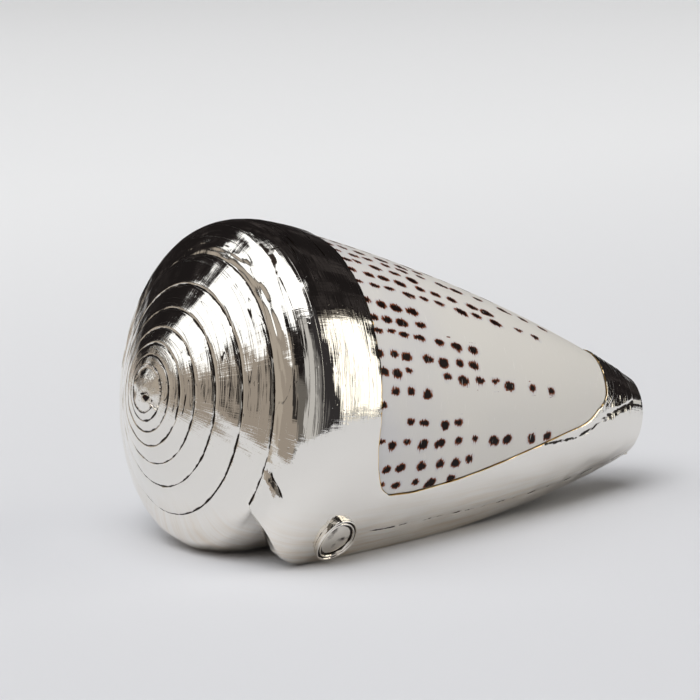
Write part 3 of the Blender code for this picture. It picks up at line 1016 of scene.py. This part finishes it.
def polishedSilver():
    look = silverLook
    material, tree, shader = newMaterial("polishedSilver")
    skin = addNode(tree, "UVMap", uv_map="coil")
    place = addNode(tree, "TexCoord").outputs["Object"]
    seam = addNode(tree, "Attribute", attribute_name="seam").outputs["Fac"]
    edge = addNode(tree, "Attribute", attribute_name="edge").outputs["Fac"]

    # relief: broad dents, growth lines across the whorl, fine lines along it, pits
    growth = lineNoise(tree, skin, look["growthLines"], 4.0, 0.62)
    spiral = lineNoise(tree, skin, look["spiralLines"], 3.0, 0.6)
    dents = noise(tree, place, look["dents"], 3.0, 0.45)
    pitField = noise(tree, place, look["pits"], 1.0)
    pits = ramp(tree, pitField, *look["pitTops"], 1.0, 0.0)
    # long scored lines that run with the whorls, where the buffing wheel didn't reach
    scoreField = lineNoise(tree, skin, look["scoreLines"], 1.0)
    fromMiddle = calc(tree, "SUBTRACT", scoreField, 0.5)
    fromMiddle = calc(tree, "ABSOLUTE", fromMiddle)
    height = addNode(tree, "SeparateXYZ", place).outputs[2]
    unbuffed = ramp(tree, height, *look["scoreHeight"])
    scored = ramp(tree, fromMiddle, 0.0, look["scoreWidth"], 1.0, 0.0)
    scored = calc(tree, "MULTIPLY", scored, unbuffed)
    bump = addNode(tree, "Bump", Distance=look["dentDepth"], Height=dents)
    for depth, field, cutIn in (("growthDepth", growth, False), ("spiralDepth", spiral, False),
                                ("pitDepth", pits, False), ("scoreDepth", scored, True)):
        bump = addNode(tree, "Bump", invert=cutIn, Distance=look[depth], Height=field, Normal=bump)

    # tarnish lies in the seams, broken up by a coarse grain
    grain = noise(tree, place, look["grain"], 3.0)
    darkening = calc(tree, "MULTIPLY", scored, look["scoreTarnish"])
    darkening = calc(tree, "MAXIMUM", seam, darkening)
    darkening = calc(tree, "MULTIPLY", darkening, grain)
    tarnish = ramp(tree, darkening, *look["tarnishFrom"])
    gold = calc(tree, "MULTIPLY", edge, grain)
    gold = ramp(tree, gold, *look["goldFrom"], 0.0, look["goldShare"])
    # a faint brown cast low down, along the growth lines
    low = ramp(tree, height, *look["castHeight"], 1.0, 0.0)
    streaks = ramp(tree, growth, *look["castLines"])
    cast = calc(tree, "MULTIPLY", low, streaks)
    lowFace = blend(tree, cast, look["face"], look["warmth"])
    warm = blend(tree, gold, lowFace, look["edgeGold"])
    tinted = blend(tree, tarnish, warm, look["tarnish"])
    rough = ramp(tree, tarnish, 0.0, 1.0, look["roughness"], look["tarnishRoughness"])
    feedAll(tree, shader,
            {"Base Color": tinted, "Roughness": rough, "Metallic": 1.0, "Normal": bump})
    return material


# The trimmed edge of the sheet: its face is painted near black as painted shade, the shadow line
# where the sheet steps down onto the shell, broken by gold in patches of about 4 mm.
trimShadeLook = {"darkening": "#1C1713", "gold": "#8A6A3C", "patches": 260.0, "goldShowsFrom": (0.5, 0.62),
            "roughness": 0.35}


def paintedShadeTrim():
    look = trimShadeLook
    material, tree, shader = newMaterial("paintedShadeTrim")
    place = addNode(tree, "TexCoord").outputs["Object"]
    patches = noise(tree, place, look["patches"], 3.0)
    # painted shade: the edge face is near black as the step's shadow line, with gold showing in
    # patches
    goldShows = ramp(tree, patches, *look["goldShowsFrom"])
    tone = blend(tree, goldShows, look["darkening"], look["gold"])
    feedAll(tree, shader, {"Base Color": tone, "Roughness": look["roughness"], "Metallic": 1.0})
    return material


# A polished sea shell: smooth white porcelain with dark brown spots in spiral rows. The spots
# stand in a lattice, one to a cell, moved and sized at random. Sizes on the skin are in mm,
# noises in places per metre (waver about 1 mm, cloud 25 mm), and scratches are counted per
# radian of turn and per mm along. Real scratches are finer, so they are drawn coarser.
shellLook = {
    "white": "#E0DDD7",
    "greyer": "#CDCDD2",
    "spot": "#170E0D",
    "spotEdge": "#86492B",
    "halo": "#BFC0C8",
    "spotSize": 1.06,
    "sizeRange": (0.72, 1.25),
    "throw": (0.22, 0.22, 0),
    "waverScale": 900.0,
    "waver": 0.9,
    "combScale": 2.6,
    "comb": 0.8,
    "squash": (1.25, 0.95, 0),
    "twinOffset": (1.1, 2.1, 0),
    "twinSmaller": 0.28,
    "missing": 0.05,
    "smallRows": (28.0, 46.0),
    "smallSize": 0.74,
    "borderFade": 0.16,
    "bodyFrom": (0.06, 0.3),
    "fringeFrom": (-0.2, 0.02),
    "haloFrom": (-0.75, -0.05),
    "haloShare": 0.55,
    "cloud": 40.0,
    "greyerFrom": (30.0, 62.0),
    "greyerShare": (0.9, 0.15),
    "cloudFrom": (0.3, 0.7),
    "scratch": "#EDEAE6",
    "scratches": (9.0, 2.4),
    "scratchFrom": (0.66, 0.74),
    "scratchShare": 0.55,
    "scratchDepth": 0.02 * mm,
    "roughness": 0.38,
    "shine": 0.06,
    # each growth column of spots: its growth angle, and where it starts and ends (mm from the
    # apex); further round they are random, a step apart
    "columns": ((-.45, 20, 50), (-.56, 20, 57), (-.67, 20, 67), (-.82, 20, 94), (-.93, 42, 61),
                (-1.03, 33, 36), (-1.10, 37, 50), (-1.22, 20, 94), (-1.31, 20, 66), (-1.45, 20, 66),
                (-1.53, 20, 49), (-1.63, 20, 54), (-1.78, 20, 94)),
    "columnStep": 0.107,
    "stepRange": (0.8, 1.2),
    "laterColumns": 28,
    "laterEnds": (52, 98),
    "laterFrom": (1.15, 1.35),
    "laterLength": 0.76,
    "rows": (22.5, 26.5, 30.5, 34.5, 38.5, 42.7, 48.3, 54, 59, 64.5, 70, 76, 84, 91, 98, 106,
             114, 122),
    # the whorl's radius in mm over its height in mm, and its least and most
    "radius": (47.5, -0.27, 6, 60),
}


def glossyShell():
    look = shellLook
    material, tree, shader = newMaterial("glossyShell")
    lattice = addNode(tree, "UVMap", uv_map="lattice")
    cell = addNode(tree, "Attribute", attribute_name="cell").outputs["Vector"]
    ends = addNode(tree, "Attribute", attribute_name="reach").outputs["Vector"]
    coilMap = addNode(tree, "UVMap", uv_map="coil")
    place = addNode(tree, "TexCoord").outputs["Object"]

    cellId = calcVector(tree, "FLOOR", lattice)
    dice = addNode(tree, "TexWhiteNoise", noise_dimensions="3D", Vector=cellId)
    inCell = calcVector(tree, "FRACTION", lattice)
    centred = calcVector(tree, "SUBTRACT", inCell, (0.5, 0.5, 0))
    throw = calcVector(tree, "SUBTRACT", dice.outputs["Color"], (0.5, 0.5, 0.5))
    moved = calcVector(tree, "MULTIPLY_ADD", throw, look["throw"], centred)
    inMm = calcVector(tree, "MULTIPLY", moved, cell)
    # outlines waver, with a comb of fine streaks around the whorl
    waver = noise(tree, place, look["waverScale"], 2.0)
    reach = look["waver"]
    wavered = calcVector(tree, "MULTIPLY_ADD", waver.outputs["Color"], (reach, reach, 0),
                         (-reach / 2, -reach / 2, 0))
    along = addNode(tree, "SeparateXYZ", coilMap).outputs[1]
    comb = addNode(tree, "TexNoise", noise_dimensions="1D", Scale=look["combScale"], Detail=1.0,
                   W=along)
    reach = look["comb"]
    combed = calcVector(tree, "MULTIPLY_ADD", comb, (reach, 0, 0), (-reach / 2, 0, 0))
    shaped = calcVector(tree, "ADD", inMm, wavered)
    shaped = calcVector(tree, "ADD", shaped, combed)
    flatShape = calcVector(tree, "MULTIPLY", shaped, look["squash"])
    fromCentre = calcVector(tree, "LENGTH", flatShape)
    # some spots have a second, smaller one grown into them
    twin = calcVector(tree, "MULTIPLY_ADD", throw, look["twinOffset"], flatShape)
    fromTwin = calcVector(tree, "LENGTH", twin)
    fromTwin = calc(tree, "ADD", fromTwin, look["twinSmaller"])
    fromSpot = calc(tree, "MINIMUM", fromCentre, fromTwin)
    sizes = [look["spotSize"] * factor for factor in look["sizeRange"]]
    size = ramp(tree, dice, 0.0, 1.0, *sizes)

    # each growth column of spots runs its own way towards the front end
    fromTo = addNode(tree, "SeparateXYZ", ends)
    rowNumber = addNode(tree, "SeparateXYZ", cellId).outputs[1]
    begun = calc(tree, "GREATER_THAN", rowNumber, fromTo)
    unended = calc(tree, "LESS_THAN", rowNumber, fromTo.outputs[1])
    present = calc(tree, "MULTIPLY", begun, unended)
    kept = calc(tree, "GREATER_THAN", dice, look["missing"])
    kept = calc(tree, "MULTIPLY", present, kept)
    early = ramp(tree, along, *look["smallRows"], look["smallSize"], 1.0)
    size = calc(tree, "MULTIPLY", size, early)
    # where there is none, the size is 9 mm below nothing
    size = calc(tree, "ADD", size, 9.0)
    size = calc(tree, "MULTIPLY_ADD", size, kept, -9.0)
    inside = calc(tree, "SUBTRACT", size, fromSpot)
    # a spot fades out just before its cell ends, so none is cut off straight
    fromMiddle = calcVector(tree, "ABSOLUTE", centred)
    toBorder = calcVector(tree, "SUBTRACT", (0.5, 0.5, 0), fromMiddle)
    toBorder = calcVector(tree, "MULTIPLY", toBorder, cell)
    toBorder = addNode(tree, "SeparateXYZ", toBorder)
    nearest = calc(tree, "MINIMUM", toBorder, toBorder.outputs[1])
    nearest = calc(tree, "SUBTRACT", nearest, look["borderFade"])
    inside = calc(tree, "MINIMUM", inside, nearest)
    body = ramp(tree, inside, *look["bodyFrom"])
    fringe = ramp(tree, inside, *look["fringeFrom"])
    halo = ramp(tree, inside, *look["haloFrom"], 0.0, look["haloShare"])
    hasSpot = calc(tree, "GREATER_THAN", size, 0.1)
    haloHere = calc(tree, "MULTIPLY", halo, hasSpot)

    # the white is uneven: greyer towards the shoulder, with pale scratches around the whorl
    cloud = noise(tree, place, look["cloud"], 3.0)
    scratch = lineNoise(tree, coilMap, look["scratches"], 2.0)
    scratched = ramp(tree, scratch, *look["scratchFrom"], 0.0, look["scratchShare"])
    shade = ramp(tree, along, *look["greyerFrom"], *look["greyerShare"])
    clouded = ramp(tree, cloud, *look["cloudFrom"])
    shade = calc(tree, "MULTIPLY", shade, clouded)
    base = blend(tree, shade, look["white"], look["greyer"])
    haloed = blend(tree, haloHere, base, look["halo"])
    fringed = blend(tree, fringe, haloed, look["spotEdge"])
    spotted = blend(tree, body, fringed, look["spot"])
    worn = blend(tree, scratched, spotted, look["scratch"])
    bump = addNode(tree, "Bump", Distance=look["scratchDepth"], Height=scratch)
    feedAll(tree, shader,
            {"Base Color": worn, "Roughness": look["roughness"],
             "Specular IOR Level": look["shine"], "Normal": bump})
    return material


def layLattice(piece):
    # the spots' lattice: growth columns across, spiral rows along, each cell's size in mm,
    # and where its column starts and ends
    mesh = piece.data
    look = shellLook
    spread = np.empty(len(mesh.loops) * 2, dtype=np.float32)
    mesh.uv_layers["coil"].data.foreach_get("uv", spread)
    phi, along = spread.reshape(-1, 2).T
    dice = np.random.default_rng(11)
    columns = list(look["columns"])
    for _ in range(look["laterColumns"]):
        step = look["columnStep"] * dice.uniform(*look["stepRange"])
        columns.append((columns[-1][0] - step, 20, dice.uniform(*look["laterEnds"])))
    angles = -np.array([c[0] for c in columns])
    number = np.arange(len(columns)) + 0.5
    column = np.interp(-phi, angles, number)
    rows = np.array(look["rows"])
    row = np.interp(along, rows, np.arange(len(rows)) + 0.5)
    layer = mesh.uv_layers.new(name="lattice")
    layer.data.foreach_set("uv", np.stack((column, row), axis=-1).ravel().astype(np.float32))
    gap = np.interp(column, number[1:], np.diff(angles))
    atApex, slope, least, most = look["radius"]
    width = gap * np.clip(atApex + slope * along, least, most)
    height = np.interp(along, rows[1:], np.diff(rows))
    # further round the whorl the spots are longer, so the same spot fills more of its cell
    height = height * np.interp(-phi, look["laterFrom"], (1, look["laterLength"]))
    cells = np.stack((width, height, along), axis=-1)
    giveAttribute(mesh, "cell", cells, "FLOAT_VECTOR", "CORNER")
    # a face takes the column its middle is in, and the column runs from its first to its last row
    corners = np.empty(len(mesh.polygons), dtype=np.int32)
    mesh.polygons.foreach_get("loop_total", corners)
    middle = np.add.reduceat(column, np.cumsum(corners) - corners) / corners
    which = np.repeat(np.clip(np.floor(middle).astype(int), 0, len(columns) - 1), corners)
    number = np.arange(len(rows))
    starts, ends = (np.round(np.interp([c[i] for c in columns], rows, number)) for i in (1, 2))
    starts, ends = starts[which] - 0.5, ends[which] + 0.5
    reach = np.stack((starts, ends, ends), axis=-1)
    giveAttribute(mesh, "reach", reach, "FLOAT_VECTOR", "CORNER")


layLattice(coneShell)
putOn(silverSheath, polishedSilver(), paintedShadeTrim())
putOn(coneShell, glossyShell())
putOn(plaqueBlank, polishedSilver())

for piece, node, slot in ((silverSheath, "silver_mount", "polished_silver"),
                          (coneShell, "shell", "natural_shell"),
                          (plaqueBlank, "oval_plaque", "plaque_silver")):
    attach(piece, "root")
    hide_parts(node)

# Matte white paper on a small table: past the table's edge the silver reflects the room. Its colour
# is painted lighter towards the back, painted light for the light that falls there, and the edge is
# further off there (all in metres).
table = {
    "size": 14,
    "paper": "#D6D7DB",
    "paintedLightPaper": "#EEEFF1",
    "paintedLightFrom": (-0.2, 0.9),
    "edgeFrom": (-0.1, 0.2),
    "edge": (0.22, 0.5),
    "roughness": 0.85,
    "shine": 0.2,
}


def palePaper():
    material, tree, shader = newMaterial("palePaper")
    place = addNode(tree, "TexCoord").outputs["Object"]
    away = calcVector(tree, "LENGTH", place)
    side = addNode(tree, "SeparateXYZ", place).outputs[1]
    # painted light: the paper's colour turns lighter towards the back, standing in for the light
    # falling there
    back = ramp(tree, side, *table["paintedLightFrom"], interpolation_type="SMOOTHSTEP")
    tone = blend(tree, back, table["paper"], table["paintedLightPaper"])
    feedAll(tree, shader,
            {"Base Color": tone, "Roughness": table["roughness"],
             "Specular IOR Level": table["shine"]})
    reach = ramp(tree, side, *table["edgeFrom"], *table["edge"])
    past = calc(tree, "GREATER_THAN", away, reach)
    mirrored = addNode(tree, "LightPath").outputs["Is Glossy Ray"]
    seesRoom = calc(tree, "MULTIPLY", past, mirrored)
    clear = addNode(tree, "BsdfTransparent")
    both = addNode(tree, "MixShader", seesRoom, shader.outputs[0], clear)
    feed(tree, tree.nodes["Material Output"].inputs["Surface"], both)
    return material


deselectAll()
bpy.ops.mesh.primitive_plane_add(size=table["size"])
floor = bpy.context.object
floor.name = "floor"
putOn(floor, palePaper())

# The studio, as the silver sees it: softboxes, dark and grey surroundings, a pale paper sweep.
# Each card has the azimuth it faces, its azimuths from and to, its elevations from and to where
# it faces (all in degrees), then its colour, its brightness and how soft its edges are. A later
# card hides the earlier ones.
studio = {
    "dark": "#1E1B1B",
    "clutter": "#494443",
    "clutterScale": 7.0,
    "clutterFrom": (0.52, 0.72),
    "leastLean": 0.35,
    "cards": {
        "dark flag": (-73, (-88, -58), (-14, 60), "#343233", 1.0, 2),
        "paper sweep": (55, (12, 92), (-25, -2), "#EDECEC", 0.95, 4),
        "tan table end": (125, (84, 160), (-20, 3), "#B8AEA3", 0.95, 3),
        "tan wall": (136, (119, 160), (-20, 20), "#B4AA9E", 0.95, 3),
        "tan wall end": (178, (155, 203), (-20, 29), "#A1978C", 0.95, 3),
        "dark stand": (191, (180, 199), (3, 24), "#33302E", 1.0, 2),
        "camera side": (-144, (-160, -128), (-18, 19), "#706C67", 0.9, 4),
        "ceiling grey": (-146, (-162, -130), (50, 61), "#55524F", 1.0, 3),
        "grey wall": (-113, (-127, -99), (-14, 58), "#C8C6C3", 0.95, 3),
        "grey strip": (-92, (-98, -87), (-14, 48), "#807E7C", 0.9, 3),
        "side softbox frame": (-68, (-59, -14), (44, 49.5), "#9C968C", 0.9, 0.8),
        "side softbox": (-68, (-58.5, -14), (-9, 45.5), "#FFFAEE", 1.6, 0.7),
        "side softbox gap": (-68, (-62, -12), (45.5, 46.6), "#171514", 0.8, 0.4),
        "side softbox foot": (-68, (-60, -14), (-7.4, -6.2), "#171514", 0.8, 0.4),
        "side softbox stand": (-44, (-46.2, -43.4), (-14, 37), "#181614", 0.6, 0.6),
        "back softbox": (142, (122, 174), (24, 86), "#FEFFFF", 1.3, 1.5),
        "back softbox left": (108, (87, 124), (48, 86), "#FEFFFF", 1.3, 1.5),
        "back softbox right": (188, (172, 205), (43, 86), "#FEFFFF", 1.3, 1.5),
        "overhead softbox": (0, (-190, 190), (80, 89), "#FFFFFF", 1.8, 2),
        "top softbox": (-120, (-156, -82), (62, 86), "#FFFFFF", 2.6, 2),
        "top softbox right": (-58, (-84, -30), (70, 86), "#FFFFFF", 2.6, 2),
    },
}


def lightStudio():
    world = bpy.data.worlds.new("studio")
    bpy.context.scene.world = world
    world.use_nodes = True
    tree = world.node_tree
    view = addNode(tree, "TexCoord").outputs["Generated"]
    way = addNode(tree, "SeparateXYZ", view)
    azimuth = calc(tree, "ARCTAN2", way.outputs[1], way)
    azimuth = calc(tree, "MULTIPLY", azimuth, 180 / math.pi)
    elevation = calc(tree, "ARCSINE", way.outputs[2])
    clutter = noise(tree, view, studio["clutterScale"], 4.0)
    lighter = ramp(tree, clutter, *studio["clutterFrom"])
    seen = blend(tree, lighter, studio["dark"], studio["clutter"])
    rise = calc(tree, "TANGENT", elevation)
    for faces, across, upright, hue, bright, soft in studio["cards"].values():
        # measured from where the card faces, so that its edges are straight in the mirror
        away = calc(tree, "SUBTRACT", azimuth, faces)
        away = calc(tree, "WRAP", away, 180, -180)
        lean = calc(tree, "MULTIPLY", away, math.pi / 180)
        lean = calc(tree, "COSINE", lean)
        lean = calc(tree, "MAXIMUM", lean, studio["leastLean"])
        height = calc(tree, "DIVIDE", rise, lean)
        sides = [(away, edge - faces - step, edge - faces + step)
                 for edge, step in zip(across, (soft, -soft))]
        sides += [(height, math.tan(math.radians(edge - step)), math.tan(math.radians(edge + step)))
                  for edge, step in zip(upright, (soft, -soft))]
        mask = None
        for measure, outer, inner in sides:
            side = ramp(tree, measure, outer, inner, interpolation_type="SMOOTHSTEP")
            mask = side if mask is None else calc(tree, "MULTIPLY", mask, side)
        seen = blend(tree, mask, seen, (*(c * bright for c in colour(hue)[:3]), 1))
    feedAll(tree, tree.nodes["Background"], {"Color": seen, "Strength": 1.0})


lightStudio()

# A big soft lamp beside the camera that fills the shadows, too diffuse to show in the silver.
frontLamp = {"side": 6.0, "watts": 540.0, "place": (-5.6, -3.2, 7.6)}
deselectAll()
bpy.ops.object.light_add(type="AREA", location=frontLamp["place"])
fill = bpy.context.object
fill.name = "frontFill"
fill.data.shape = "SQUARE"
fill.data.size = frontLamp["side"]
fill.data.energy = frontLamp["watts"]
fill.rotation_euler = (-Vector(frontLamp["place"])).to_track_quat("-Z", "Y").to_euler()
fill.visible_glossy = False
bpy.context.scene.view_settings.view_transform = "Standard"

camera = {
    "lens": 145.8,
    "place": (-0.36118506, -0.51818698, 0.13343771),
    "forward": (0.55200415, 0.82074647, -0.14719597),
    "right": (0.8270814, -0.5613629, -0.02842642),
}
cameraData = bpy.data.cameras.new("photoCamera")
cameraData.lens = camera["lens"]
cameraData.sensor_width = 36
photoCamera = bpy.data.objects.new("photoCamera", cameraData)
bpy.context.collection.objects.link(photoCamera)
forward, right = Vector(camera["forward"]), Vector(camera["right"])
rows = Matrix((right, right.cross(forward), -forward)).transposed()
photoCamera.matrix_world = Matrix.Translation(camera["place"]) @ rows.to_4x4()
bpy.context.scene.camera = photoCamera
